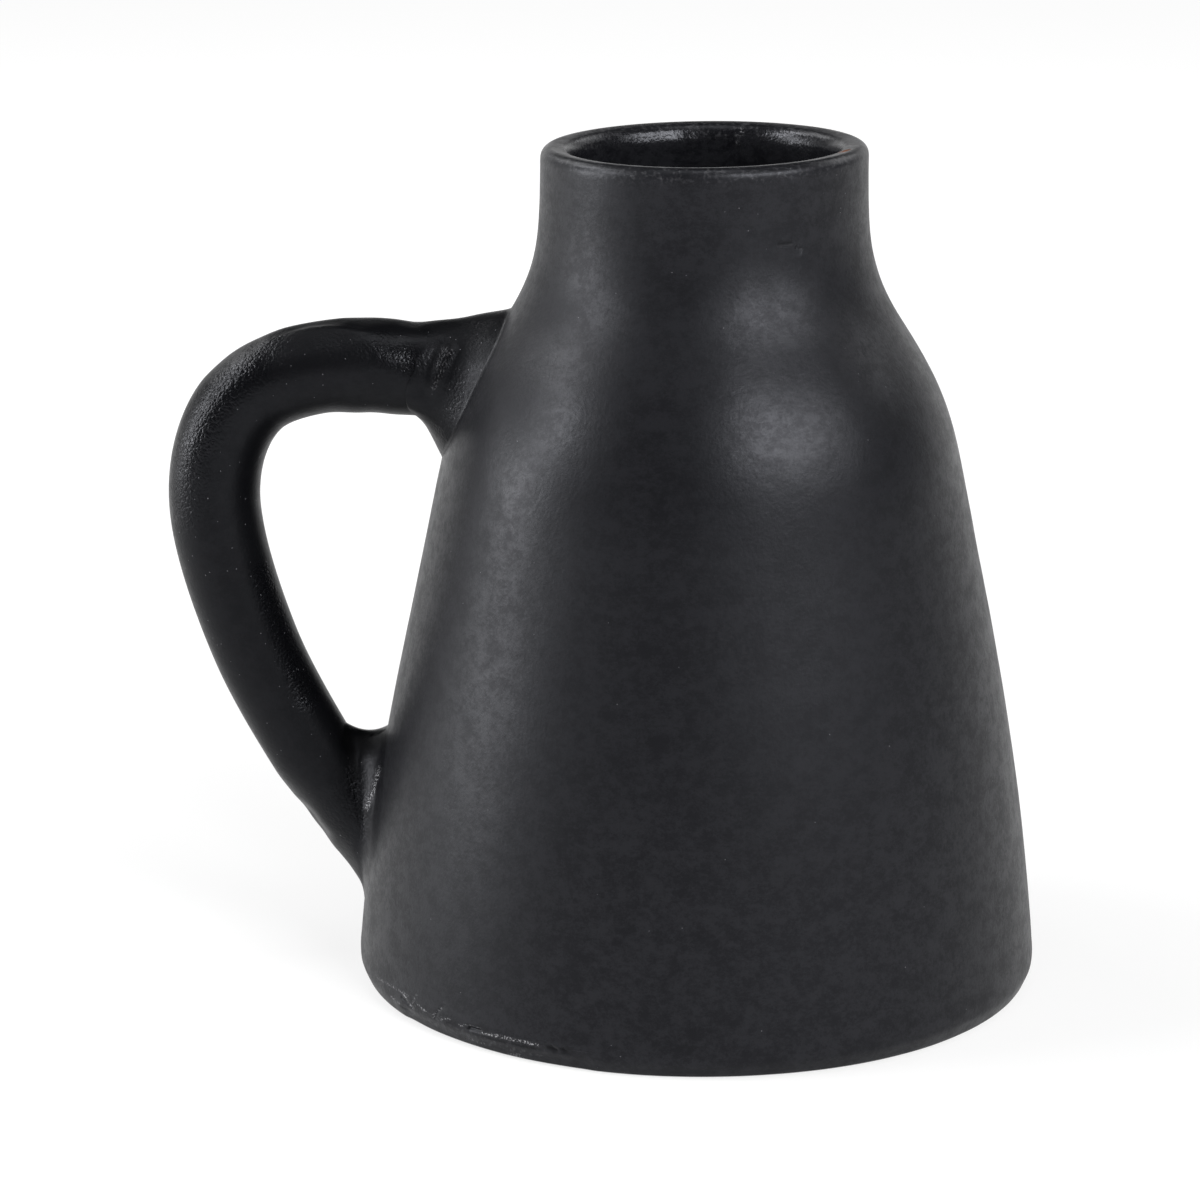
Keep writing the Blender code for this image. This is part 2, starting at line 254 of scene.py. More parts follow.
def arc(centre, across, up, start, end, steps):
    """Points on an oval arc of a section, between two angles in degrees."""
    angles = [math.radians(angle) for angle in spaced(start, end, steps)]
    return [(centre[0] + across * math.cos(angle), centre[1] + up * math.sin(angle)) for angle in angles]


lip_low = RIM_TOP - LIP_ROUND
neck_top = lip_low - LIP_SPACE
mouth_low = RIM_TOP - LIP_DEPTH
wall_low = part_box("body_wall")[0].z + ASIDE
flare_slope = FLARE / (neck_top - FLARE_FROM)
outside = [(outer_radius(height) + flare_slope * max(0.0, height - FLARE_FROM), height)
           for height in spaced(wall_low, neck_top, OUTER_ROWS)]
inside = [(inner_radius(height), height) for height in spaced(mouth_low, wall_low, INNER_ROWS)]
foot_radius = outside[0][0]
crest = outside[-1][0] - LIP_ROUND
section = [(foot_radius - EDGE_HOLD, SEAM - LAP), (foot_radius, SEAM - LAP + EDGE_HOLD), *outside]
section += arc((crest, lip_low), LIP_ROUND, LIP_ROUND, 0.0, 90.0, CREST_STEPS)
brink = crest - LIP_FLAT
section += arc((brink, mouth_low), brink - inside[0][0], LIP_DEPTH - LIP_DROP, 90.0, 180.0, BRINK_STEPS)
section += [*inside[1:], (inside[-1][0], SEAM - LAP)]
wall = turn("turned_wall", section, closed=True)

# %% [markdown]
# ## The floor slab
#
# The slab closes the foot. Its edge is pared in below, and above it is smeared up over the wall's end, so
# that the joint shows only where the smear failed. It is turned from its own short section: the smear is a
# thin skin that starts just proud of the wall and sinks into it a few millimetres higher up.

# %% Turn the slab
PARE_WIDTH = 1.8 * MM
PARED_EDGE = ((0.86, 0.3 * MM), (0.10, 3.3 * MM), (0.0, 4.2 * MM))
SLAB_RINGS = 5
SMEAR_PROUD = 0.03 * MM
SMEAR_SINK = 0.06 * MM
SMEAR_HEIGHT = 4.0 * MM
SMEAR_ROWS = 4
SMEAR_SKIN = 1.2 * MM


def smear_point(share):
    """A point of the smeared skin, from just proud of the wall at the seam to just under it higher up."""
    height = wall_low + SMEAR_HEIGHT * share
    return outer_radius(height) + SMEAR_PROUD - (SMEAR_PROUD + SMEAR_SINK) * share, height


edge = foot_radius + SMEAR_PROUD
underside = spaced(0.0, foot_radius - PARE_WIDTH, SLAB_RINGS)
section = [(radius, 0.0) for radius in underside]
section += [(edge - share * PARE_WIDTH, height) for share, height in PARED_EDGE]
section += [smear_point(share) for share in spaced(0.0, 1.0, SMEAR_ROWS)]
section += [(section[-1][0] - SMEAR_SKIN, section[-1][1]), (foot_radius - 2 * SMEAR_SKIN, SEAM)]
section += [(radius, SEAM) for radius in reversed(underside[:-1])]
slab = turn("floor_slab", section, closed=False)

# %% [markdown]
# ## Uneven by hand
#
# No hand-made wall is true. This one leans a little, its rim is lower at the handle's side, and soft swells
# break up the light on it. A Displace modifier would push along each face's own direction and open the
# joint between wall and slab, so the swells here push straight out from the axis, alike on both pieces.

# %% Lean, tilt and swell
LEAN = 0.0043
RIM_TILT = math.radians(0.75)
TILT_FROM = 0.15
NEAR_AXIS = 10 * MM
SWELLS = ((55 * MM, 0.30 * MM), (14 * MM, 0.07 * MM), (5 * MM, 0.025 * MM))


def swell_at(place):
    return sum(depth * noise.noise(place / size) for size, depth in SWELLS)


def make_uneven(piece):
    points = points_of(piece)
    push = np.array([swell_at(Vector(point)) for point in points])
    across = np.hypot(points[:, 0], points[:, 1])
    points[:, :2] *= (1.0 + push / np.maximum(across, NEAR_AXIS))[:, None]
    rise = np.clip((points[:, 2] - TILT_FROM) / (RIM_TOP - TILT_FROM), 0.0, 1.0)
    points[:, 2] += points[:, 0] * math.tan(RIM_TILT) * ease(rise)
    points[:, 0] += LEAN * points[:, 2]
    move_points(piece, points)


for piece in (wall, slab):
    make_uneven(piece)
print(f"rim leans {LEAN * RIM_TOP / MM:.1f} mm")

# %% [markdown]
# ## Lofts for hand-formed clay
#
# The handle, its collar and the wad at its foot aren't turned: they are rings of clay that change shape
# along the way. A ring is added as a circle, set on its points, and extruded from one set of points to the
# next. A curve with a round bevel would make the coil too, but each of its sections would be a true circle.

# %% Loft helper
SPOKE = "spoke"


def loft(name, rings, joined, levels=1):
    """Extrudes a ring of points from place to place. Joined closes it end to end, else it is capped."""
    bpy.ops.object.select_all(action="DESELECT")
    bpy.ops.mesh.primitive_circle_add(vertices=len(rings[0]), fill_type="NOTHING" if joined else "NGON")
    piece = bpy.context.object
    bpy.ops.object.mode_set(mode="EDIT")
    shape = bmesh.from_edit_mesh(piece.data)
    spoke_of = shape.verts.layers.int.new(SPOKE)
    for index, vert in enumerate(shape.verts):
        vert[spoke_of] = index
    for number, ring in enumerate(rings):
        if number:
            bpy.ops.mesh.extrude_region_move()
        shape = bmesh.from_edit_mesh(piece.data)
        spoke_of = shape.verts.layers.int[SPOKE]
        for vert in shape.verts:
            if vert.select:
                vert.co = ring[vert[spoke_of]]
        bmesh.update_edit_mesh(piece.data)
    if joined:
        bpy.ops.mesh.select_all(action="DESELECT")
        bpy.ops.mesh.select_mode(type="EDGE")
        bpy.ops.mesh.select_non_manifold()
        bpy.ops.mesh.bridge_edge_loops()
    bpy.ops.mesh.select_mode(type="VERT")
    bpy.ops.mesh.select_all(action="SELECT")
    bpy.ops.mesh.normals_make_consistent(inside=False)
    bpy.ops.object.mode_set(mode="OBJECT")
    piece.data.attributes.remove(piece.data.attributes[SPOKE])
    return finish_mesh(piece, name, levels)


# %% [markdown]
# ## The handle coil
#
# One coil of clay, about as thick as a thumb, leaves the shoulder level, bends over and runs down to the
# belly. Its centre line goes through a few points beside the wall, in the frame's own places. Arcs and
# straight runs would look like bent pipe, so a cubic curve through the points bends it as clay does.

# %% Loft the coil
HANDLE_KNOTS = (
    (0.0467, 0.1517), (0.0577, 0.1517), (0.0839, 0.1552), (0.1110, 0.1472), (0.1207, 0.1217),
    (0.1115, 0.0837), (0.0929, 0.0479), (0.0826, 0.0337), (0.0755, 0.0239),
)
COIL_RADIUS = 11.4 * MM
COIL_FOOT_RADIUS = 10.4 * MM
COIL_SPOKES = 56
COIL_RINGS = 170
KNOT_STEPS = 16


def smooth_line(knots, steps):
    """A smooth curve through the knots: each stretch is a cubic with slopes from its neighbours."""
    ends = [2 * knots[0] - knots[1], *knots, 2 * knots[-1] - knots[-2]]
    line = []
    for before, start, end, after in zip(ends, ends[1:], ends[2:], ends[3:]):
        for t in spaced(0.0, 1.0, steps)[:-1]:
            leave = (end - before) / 2 * (t**3 - 2 * t**2 + t)
            arrive = (after - start) / 2 * (t**3 - t**2)
            line.append(start * (2 * t**3 - 3 * t**2 + 1) + leave + end * (3 * t**2 - 2 * t**3) + arrive)
    return [*line, knots[-1]]


centre_line = smooth_line([Vector((-out, 0.0, height)) for out, height in HANDLE_KNOTS], KNOT_STEPS)
travel = np.cumsum([0.0, *((b - a).length for a, b in zip(centre_line, centre_line[1:]))])
COIL_LENGTH = travel[-1]
ALONG_Y = Vector((0.0, 1.0, 0.0))


def centre_at(distance):
    """The centre line's point at a distance from its start inside the shoulder."""
    return Vector([np.interp(distance, travel, [point[axis] for point in centre_line]) for axis in range(3)])


def coil_at(distance, angle, sink=0.0):
    """A point on the coil's skin. Angle 0 faces the finger gap, half a turn on faces out."""
    centre = centre_at(distance)
    ahead = centre_at(distance + MM) - centre_at(distance - MM)
    inward = ahead.normalized().cross(ALONG_Y)
    share = max(0.0, 2.0 * distance / COIL_LENGTH - 1.0)
    radius = COIL_RADIUS + (COIL_FOOT_RADIUS - COIL_RADIUS) * share - sink
    return centre + (inward * math.cos(angle) + ALONG_Y * math.sin(angle)) * radius


def spoke_angles(count):
    return [math.tau * spoke / count for spoke in range(count)]


rings = [[coil_at(distance, angle) for angle in spoke_angles(COIL_SPOKES)]
         for distance in spaced(0.0, COIL_LENGTH, COIL_RINGS)]
coil = loft("handle_loop", rings, joined=False)

# %% Tuck the coil's ends into the wall
BURIED = 3.0 * MM
LEVELS = 160
level_table = np.array(spaced(wall_low, neck_top, LEVELS))
radius_table = np.array([outer_radius(level) for level in level_table])


def wall_depth(points):
    """How far points lie under the wall's outer face, level with the axis; below zero is outside."""
    points = np.atleast_2d(points)
    across = np.hypot(points[:, 0] - LEAN * points[:, 2], points[:, 1])
    return np.interp(points[:, 2], level_table, radius_table) - across


def tuck(piece):
    """Draws what runs too deep into the wall back out to one depth, so that nothing shows inside."""
    points = points_of(piece)
    extra = np.maximum(wall_depth(points) - BURIED, 0.0)
    across = np.hypot(points[:, 0], points[:, 1])
    points[:, :2] *= (1.0 + extra / across)[:, None]
    move_points(piece, points)


tuck(coil)
print(f"the coil's ends lie {BURIED / MM:.0f} mm under the wall's face")

# %% [markdown]
# ## The collar and the wad
#
# Where the coil leaves the shoulder, clay is thumbed round it as a collar with straight flanks, deepest
# underneath. Where it comes back to the belly, a wad fills the V between them and thins out at the sides.
# Both are seats of the same kind: each spoke starts on the coil's skin, dips and ends on the wall's, so one
# helper makes both from how far they reach on the inside, at the sides and on the outside.

# %% Seat helper
SEAT_SPOKES = 72
SEAT_STEPS = 10
EDGE_SINK = 0.05 * MM
KEEP_UNDER = 2.5 * MM
TAIL = 1.2
TAIL_SINK = 0.5 * MM
SCAN = 0.25 * MM
LOOK_FROM = 60.0 * MM
wall_skin = skin(wall)


def by_side(values, angle):
    """A value between those for the finger gap's side, the flanks and the outer side."""
    inner, flank, outer = values
    face = math.cos(angle)
    return flank + (inner - flank) * max(face, 0.0) ** 2 + (outer - flank) * max(-face, 0.0) ** 2


def wall_normal(place):
    radii = [np.interp(place.z + shift, level_table, radius_table) for shift in (-MM, MM)]
    away = Vector((place.x - LEAN * place.z, place.y, 0.0)).normalized()
    return (away - Vector((0.0, 0.0, (radii[1] - radii[0]) / (2 * MM)))).normalized()


def on_wall(place, sink):
    """The point of the uneven wall level with a place, a little under its skin."""
    away = Vector((place.x - LEAN * place.z, place.y, 0.0)).normalized()
    return wall_skin.ray_cast(place + away * LOOK_FROM, -away)[0] - away * sink


def leaves_wall(angle, start, way):
    """The distance along the coil at which a line on its skin comes out of the wall."""
    distance = start
    while wall_depth(coil_at(distance, angle))[0] > 0.0:
        distance += way * SCAN
    return distance


def seat(name, start, way, on_coil, along_wall, hug_coil, hug_wall):
    """A ring of clay round one end of the coil. It leaves a skin smoothly where it hugs it by 1."""
    spokes = []
    for angle in spoke_angles(SEAT_SPOKES):
        leave = leaves_wall(angle, start, way)
        corner = coil_at(leave, angle)
        normal = wall_normal(corner)
        outward = (corner - centre_at(leave)).normalized()
        slide = (outward - normal * outward.dot(normal)).normalized()
        reach, spread = by_side(on_coil, angle), by_side(along_wall, angle)
        high = coil_at(leave + way * reach * MM, angle, EDGE_SINK)
        low = on_wall(corner + slide * spread * MM, EDGE_SINK)
        head = coil_at(leave + way * (reach + TAIL) * MM, angle, TAIL_SINK)
        tail = on_wall(corner + slide * (spread + TAIL) * MM, TAIL_SINK)
        near_high = high.lerp(low, 1 / 3).lerp(high.lerp(corner, 2 / 3), by_side(hug_coil, angle))
        near_low = low.lerp(high, 1 / 3).lerp(low.lerp(corner, 2 / 3), by_side(hug_wall, angle))
        line = []
        for t in spaced(0.0, 1.0, SEAT_STEPS):
            bend = near_high * (3 * t * (1 - t) ** 2) + near_low * (3 * t**2 * (1 - t))
            line.append(high * (1 - t) ** 3 + bend + low * t**3)
        spokes.append([head, *line, tail, corner - outward * KEEP_UNDER - normal * KEEP_UNDER])
    rings = [[spoke[step] for spoke in spokes] for step in range(SEAT_STEPS + 4)]
    return loft(name, rings, joined=True, levels=2)


# %% Seat the collar and the wad
collar = seat("thumbed_collar", 0.0, 1, on_coil=(7.4, 14.5, 25.0), along_wall=(9.5, 5.6, 6.9),
              hug_coil=(0.1, 1.0, 0.9), hug_wall=(0.0, 0.4, 0.05))
wad = seat("pressed_wad", COIL_LENGTH, -1, on_coil=(17.6, 13.0, 3.0), along_wall=(13.5, 11.0, 1.6),
           hug_coil=(0.25, 1.0, 1.0), hug_wall=(0.2, 1.0, 0.5))

# %% [markdown]
# ## Marks of the maker and of use
#
# Fingers, tools and years leave marks that no modifier makes: a flat on top of the bend, a thumb's dent
# before the collar, the crease where the collar was folded over, the cracked joint behind the wad, and the
# open seam at the left of the foot. Each is a short stroke through the pixels where it shows: kind, path,
# width and depth in millimetres. Painted layers say where the coat is leathery, rubbed, polished, cracked,
# dusty or chipped, and where it has scratches. The pale layer of scratches also carries painted highlights
# on the ridges at the collar's crease and at the wad. The near-black layer of cracks also carries painted
# shade in the pocket beside the wad.

# %% Refine and mark
def pick(piece):
    """Selects one piece alone, because an operator acts on all that is selected."""
    bpy.ops.object.select_all(action="DESELECT")
    bpy.context.view_layer.objects.active = piece
    piece.select_set(True)


def refine(piece, surface, pixels, width, cuts):
    """Cuts the faces along a path smaller, so that a mark finer than the mesh can be pressed there."""
    path = [seen_at(surface, pixel) for pixel in pixels]
    centres = np.empty(3 * len(piece.data.polygons))
    piece.data.polygons.foreach_get("center", centres)
    chosen = brush(centres.reshape(-1, 3), path, width * MM) > 0.0
    pick(piece)
    bpy.ops.object.mode_set(mode="EDIT")
    bpy.ops.mesh.select_all(action="DESELECT")
    bpy.ops.object.mode_set(mode="OBJECT")
    piece.data.polygons.foreach_set("select", chosen)
    bpy.ops.object.mode_set(mode="EDIT")
    bpy.ops.mesh.select_mode(type="FACE")
    bpy.ops.mesh.subdivide(number_cuts=cuts, smoothness=0.0)
    bpy.ops.object.mode_set(mode="OBJECT")


def away_from_coil(piece):
    """Directions away from the coil's middle, so that a stroke moves the coil and its seats alike."""
    points, line = points_of(piece), np.array(centre_line)
    gaps = [((points - middle) ** 2).sum(axis=1) for middle in line]
    away = points - line[np.argmin(gaps, axis=0)]
    return away / np.linalg.norm(away, axis=1)[:, None]


def mark(piece, marks, fine=(), outward=normals_of):
    surface = skin(piece)
    for pixels, width, cuts in fine:
        refine(piece, surface, pixels, width, cuts)
    for kind, pixels, width, amount in marks:
        stroke(piece, surface, kind, pixels, width, amount, outward)
    print(f"{piece.name}: {len(marks)} marks, {len(piece.data.polygons)} faces")


# %% Marks on the wall and the slab
RIM_CHIP = ((841, 152), (847, 150))
NECK_NICK = ((779, 244), (791, 243))
NECK_PIT = ((797, 247), (801, 248))
FOOT_SEAM = ((384, 990), (425, 1013), (458, 1025), (492, 1036), (538, 1045), (580, 1053))
FOOT_LIP = ((458, 1024), (476, 1029), (492, 1035), (515, 1040), (540, 1045))
FOOT_GAP = ((469, 1028), (479, 1031))
FOOT_SCRAPED = ((392, 988), (412, 1002), (440, 1014))
FOOT_PARED = ((410, 1014), (430, 1024), (500, 1047), (580, 1062))
WALL_FINE = ((FOOT_LIP, 2.2, 4), (FOOT_SCRAPED, 2.6, 3), (RIM_CHIP, 2.4, 3), (NECK_NICK, 2.0, 3),
             (NECK_PIT, 1.6, 3))
SLAB_FINE = ((FOOT_SEAM, 2.6, 2), (FOOT_SCRAPED, 3.0, 1), (FOOT_LIP, 1.0, 1))
FOOT_MARKS = (
    ("scratch", ((378, 978), (392, 986), (408, 996)), 0.5, 0.6),
    ("scratch", ((391, 997), (399, 1003)), 0.8, 0.6),
    ("scratch", ((404, 994), (411, 1008)), 1.0, 0.9),
    ("scratch", ((412, 1004), (418, 993)), 0.5, 0.6),
    ("scratch", ((417, 1003), (425, 1013)), 0.6, 0.7),
    ("scratch", ((432, 1018), (441, 1008)), 0.45, 1.0),
    ("scratch", ((437, 1020), (450, 1019)), 0.5, 0.7),
    ("crack", ((400, 1006), (410, 1013)), 0.8, 0.4),
    ("crack", ((446, 1022), (456, 1025)), 0.7, 0.4),
    ("press", ((402, 998), (412, 1008)), 0.9, 0.20),
    ("press", ((434, 1018), (443, 1006)), 0.7, 0.20),
    ("press", FOOT_GAP, 1.0, 0.8),
    # Pale ragged lines along the wall's lower edge at the open seam.
    ("scratch", ((459, 1025), (470, 1026), (480, 1029)), 0.45, 1.3),
    ("scratch", ((478, 1032), (487, 1034), (500, 1037), (514, 1040), (538, 1045)), 0.65, 1.7),
    ("crack", ((470, 1029), (478, 1032)), 0.65, 1.0),
    ("crack", ((482, 1037), (510, 1044), (540, 1050)), 0.7, 0.5),
    ("crack", ((548, 1048), (556, 1051)), 0.9, 0.8),
    ("crack", ((562, 1049), (568, 1053)), 0.8, 0.7),
    ("press", ((550, 1047), (556, 1051)), 1.1, 0.35),
    ("press", ((562, 1049), (566, 1053)), 0.9, 0.30),
)
WALL_MARKS = (
    ("rub", ((570, 168), (600, 174), (632, 177)), 1.5, 1.0),
    ("rub", ((654, 178), (674, 179)), 1.2, 0.9),
    ("rub", ((730, 179), (760, 178), (792, 175)), 1.4, 1.0),
    ("press", NECK_NICK, 0.7, 0.16),
    ("crack", NECK_NICK, 0.7, 0.8),
    ("press", NECK_PIT, 0.8, 0.30),
    ("press", ((600, 144), (640, 138), (680, 135)), 2.6, 0.12),
    ("press", ((640, 148), (690, 142)), 2.4, -0.10),
    ("press", ((745, 138), (780, 139), (812, 143)), 2.6, 0.12),
    ("leather", ((585, 148), (640, 138), (695, 135)), 7.0, 0.5),
    ("leather", ((740, 137), (780, 139), (815, 145)), 7.0, 0.5),
    ("press", RIM_CHIP, 1.2, 0.30),
    ("bare", RIM_CHIP, 1.4, 0.9),
    ("scratch", ((836, 155), (838, 154)), 0.8, 1.0),
    ("scratch", ((741, 126), (742, 134)), 0.8, 0.5),
    ("scratch", ((737, 134), (737, 142)), 0.7, 0.35),
    ("press", ((487, 667), (501, 665)), 1.5, 0.18),
    ("press", ((411, 869), (424, 874)), 1.2, 0.20),
    ("dust", ((690, 200), (720, 210), (750, 222)), 6.0, 1.0),
    ("dust", ((820, 185), (850, 200), (858, 225)), 5.0, 1.0),
    ("dust", ((460, 420), (480, 395), (500, 350)), 4.0, 0.8),
    *FOOT_MARKS,
)
SLAB_MARKS = (
    ("press", FOOT_PARED, 4.6, 0.40),
    ("scratch", ((466, 1040), (482, 1044)), 0.7, 1.0),
    ("scratch", ((508, 1055), (521, 1057)), 0.7, 1.1),
    ("rub", ((396, 1004), (460, 1033), (540, 1054)), 3.0, 0.8),
    *FOOT_MARKS,
)
mark(wall, WALL_MARKS, WALL_FINE)
mark(slab, SLAB_MARKS, SLAB_FINE)

# %% Marks on the handle and its seats
THUMB_MARKS = (
    ("press", ((366, 319), (396, 321), (408, 322)), 8.0, 0.85),
    ("press", ((450, 316), (472, 314)), 8.0, -0.4),
    ("press", ((394, 338), (408, 350), (414, 364)), 7.0, 0.60),
    ("press", ((365, 412), (388, 412)), 10.0, -1.0),
    ("press", ((438, 350), (431, 370), (426, 390)), 4.0, 0.40),
    ("press", ((449, 352), (441, 371), (434, 390)), 3.0, -0.65),
    # A painted highlight: a pale wedge on the ridge of the crease.
    ("scratch", ((451, 352), (443, 370), (434, 388)), 1.1, 0.5),
    ("polish", ((449, 352), (441, 371), (434, 390)), 3.0, 1.0),
    ("polish", ((385, 340), (412, 360)), 7.0, 1.0),
    ("leather", ((330, 345), (370, 348), (405, 358)), 9.0, 0.6),
)
FOOT_OF_LOOP = (
    ("press", ((304, 808), (318, 824), (332, 842), (350, 866)), 12.0, 1.3),
    ("press", ((303, 819), (315, 833)), 7.0, 1.1),
    ("press", ((352, 740), (374, 748)), 6.0, 0.7),
    # Painted shade darkens the pocket between the coil, the wad and the wall.
    ("crack", ((350, 738), (372, 744), (380, 740)), 4.0, 0.6),
    ("crack", ((353, 748), (355, 776)), 2.2, 0.6),
)
COIL_MARKS = (
    ("press", ((222, 360), (250, 342)), 10.0, 0.6),
    ("press", ((282, 333), (305, 325), (335, 321)), 4.0, 0.35),
    ("press", ((262, 343), (290, 333), (322, 328), (362, 331)), 2.2, -0.24),
    ("press", ((270, 354), (300, 345), (340, 342)), 4.5, 0.30),
    ("press", ((264, 575), (280, 625), (304, 688)), 8.0, 0.25),
    ("leather", ((262, 352), (215, 395), (190, 450), (185, 505)), 14.0, 1.0),
    ("leather", ((264, 575), (284, 635), (310, 695)), 7.0, 1.0),
    ("leather", ((335, 800), (355, 835)), 8.0, 1.0),
    ("polish", ((250, 365), (210, 405), (188, 450)), 11.0, 1.0),
    ("polish", ((264, 575), (284, 635), (310, 695)), 7.0, 1.0),
    *FOOT_OF_LOOP,
    *THUMB_MARKS,
)
COLLAR_MARKS = (
    ("leather", ((440, 345), (455, 400), (440, 430)), 6.0, 0.6),
    ("dust", ((470, 340), (450, 400)), 9.0, 1.0),
    *THUMB_MARKS,
)
WAD_MARKS = (
    *FOOT_OF_LOOP,
    ("press", ((374, 735), (384, 731)), 1.2, 0.5),
    ("press", ((380, 766), (375, 786), (367, 808)), 2.8, -1.0),
    ("polish", ((380, 766), (375, 786), (367, 808)), 3.0, 1.0),
    ("leather", ((352, 780), (360, 830)), 6.0, 1.0),
    # A painted highlight along the web's top edge.
    ("scratch", ((350, 727), (366, 729), (378, 728)), 0.5, 0.5),
    # A painted highlight down the ridge where the wad meets the wall.
    ("scratch", ((379, 770), (374, 790), (367, 808)), 1.2, 1.7),
    ("crack", ((375, 735), (384, 730)), 0.9, 1.0),
)
mark(coil, COIL_MARKS, outward=away_from_coil)
mark(collar, COLLAR_MARKS, outward=away_from_coil)
mark(wad, WAD_MARKS, outward=away_from_coil)

# %% Layers by place
GLAZE_FACING = (0.55, 0.95)
SHOULDER_LOW = 0.120
SHOULDER_HIGH = 0.172
SHOULDER_FADE = 0.014
SHOULDER_SHINE = 0.6
LIP_FADE = 5.0 * MM
COAT_FADES = ((wad, 7.0), (coil, 7.0), (collar, 0.4))


def fill_layer(piece, layer, values):
    attribute, before = layer_of(piece, layer)
    attribute.data.foreach_set("value", np.maximum(before, values))


def glaze_inside(piece):
    """Marks what faces the axis: the coat ran thicker and shinier inside the neck."""
    points, normals = points_of(piece), normals_of(piece)
    across = np.maximum(np.hypot(points[:, 0], points[:, 1]), MM)
    facing = -(points[:, 0] * normals[:, 0] + points[:, 1] * normals[:, 1]) / across
    low, high = GLAZE_FACING
    fill_layer(piece, "glaze", np.clip((facing - low) / (high - low), 0.0, 1.0))


def fade_to_wall(piece, reach):
    """Marks what lies within a reach in millimetres of the wall, where the two coats pass over."""
    outside = np.maximum(-wall_depth(points_of(piece)), 0.0)
    fill_layer(piece, "near_wall", np.clip(1.0 - outside / (reach * MM), 0.0, 1.0))


def wear_lip(piece):
    """Marks the lip, where the coat is rubbed thin and smooth."""
    points = points_of(piece)
    top = RIM_TOP + points[:, 0] * math.tan(RIM_TILT)
    worn = np.clip(1.0 - (top - points[:, 2]) / LIP_FADE, 0.0, 1.0)
    fill_layer(piece, "rub", worn)
    fill_layer(piece, "polish", worn)


def polish_shoulder(piece):
    """Marks the band round the shoulder that hands and cloths have rubbed smoother."""
    height = points_of(piece)[:, 2]
    rise = np.clip((height - SHOULDER_LOW) / SHOULDER_FADE, 0.0, 1.0)
    fall = np.clip((SHOULDER_HIGH - height) / SHOULDER_FADE, 0.0, 1.0)
    fill_layer(piece, "polish", SHOULDER_SHINE * rise * fall)


glaze_inside(wall)
polish_shoulder(wall)
wear_lip(wall)
for piece, reach in COAT_FADES:
    fade_to_wall(piece, reach)
wall_layers = sorted(entry.name for entry in wall.data.attributes if entry.data_type == "FLOAT")
print("layers on the wall:", ", ".join(wall_layers))

# %% [markdown]
# ## Smeared joints
#
# Wet clay was smeared over the joints of the handle, so light runs over them without a line. Two meshes that
# cross always show one. Fusing them with a Boolean would lose the separate pieces, so each seat instead
# borrows its neighbour's normals where the two lie close: the Data Transfer modifier copies them, and a
# vertex group says how much.

# %% Borrow the neighbours' normals
SMEARS = ((collar, 1.2, 0.8), (wad, 3.0, 1.6))


def blend_light(piece, neighbour, reach):
    """Gives a piece its neighbour's normals within a reach in millimetres, fading out."""
    surface = skin(neighbour)
    near = piece.vertex_groups.new(name="near")
    for index, point in enumerate(points_of(piece)):
        share = max(0.0, 1.0 - surface.find_nearest(Vector(point))[3] / (reach * MM))
        near.add([index], ease(share), "REPLACE")
    borrow = piece.modifiers.new("borrow_normals", "DATA_TRANSFER")
    borrow.object = neighbour
    borrow.use_loop_data = True
    borrow.data_types_loops = {"CUSTOM_NORMAL"}
    borrow.loop_mapping = "POLYINTERP_NEAREST"
    borrow.vertex_group = near.name
    pick(piece)
    bpy.ops.object.modifier_apply(modifier=borrow.name)
    piece.vertex_groups.clear()


for piece, coil_reach, wall_reach in SMEARS:
    blend_light(piece, coil, coil_reach)
    blend_light(piece, wall, wall_reach)
print("joints smeared:", collar.name, wad.name)

# %% [markdown]
# ## Shared effects for the coat
#
# The coat is the same on every piece: a thin matt black layer with cloudy patches, a fine orange-peel grain,
# pale specks of dust, and a leathery skin where the clay was wet when it was handled. Each effect is a node
# group with its own sizes, so that a material only says how much of it there is. Image textures could show
# the same, but nodes on object coordinates stay sharp at any distance and need no unwrapping.

# %% Node helpers
def add_node(tree, kind, inputs, **settings):
    """Adds a node. An input is set to a value, or linked where it is given another node's socket."""
    node = tree.nodes.new(kind)
    for name, value in settings.items():
        setattr(node, name, value)
    for name, value in inputs.items():
        if isinstance(value, bpy.types.NodeSocket):
            tree.links.new(value, node.inputs[name])
        else:
            node.inputs[name].default_value = value
    return node


def math_node(tree, operation, *values, clamp=False):
    inputs = dict(enumerate(values))
    return add_node(tree, "ShaderNodeMath", inputs, operation=operation, use_clamp=clamp).outputs[0]


def ramp_node(tree, value, low, high):
    """A smooth step from 0 at low to 1 at high."""
    inputs = {"Value": value, "From Min": low, "From Max": high}
    return add_node(tree, "ShaderNodeMapRange", inputs, interpolation_type="SMOOTHSTEP").outputs["Result"]


def noise_node(tree, vector, scale, detail, roughness=0.5):
    inputs = {"Vector": vector, "Scale": scale, "Detail": detail, "Roughness": roughness}
    return add_node(tree, "ShaderNodeTexNoise", inputs).outputs["Fac"]


def new_group(name, values, result):
    """A shader group that takes Vector and some named values and gives one result."""
    group = bpy.data.node_groups.new(name, "ShaderNodeTree")
    group.interface.new_socket("Vector", in_out="INPUT", socket_type="NodeSocketVector")
    for value in values:
        group.interface.new_socket(value, in_out="INPUT", socket_type="NodeSocketFloat")
    group.interface.new_socket(result, in_out="OUTPUT", socket_type="NodeSocketFloat")
    entry = group.nodes.new("NodeGroupInput")
    leave = group.nodes.new("NodeGroupOutput")
    return group, entry.outputs, leave.inputs[result]


# %% Cloudy patches and fine grain
TURNED_STRETCH = (1.0, 1.0, 1.3)
PATCH_EDGES = (0.39, 0.61)
COARSE_GRAIN = 0.33
COARSE_DEPTH = 0.8

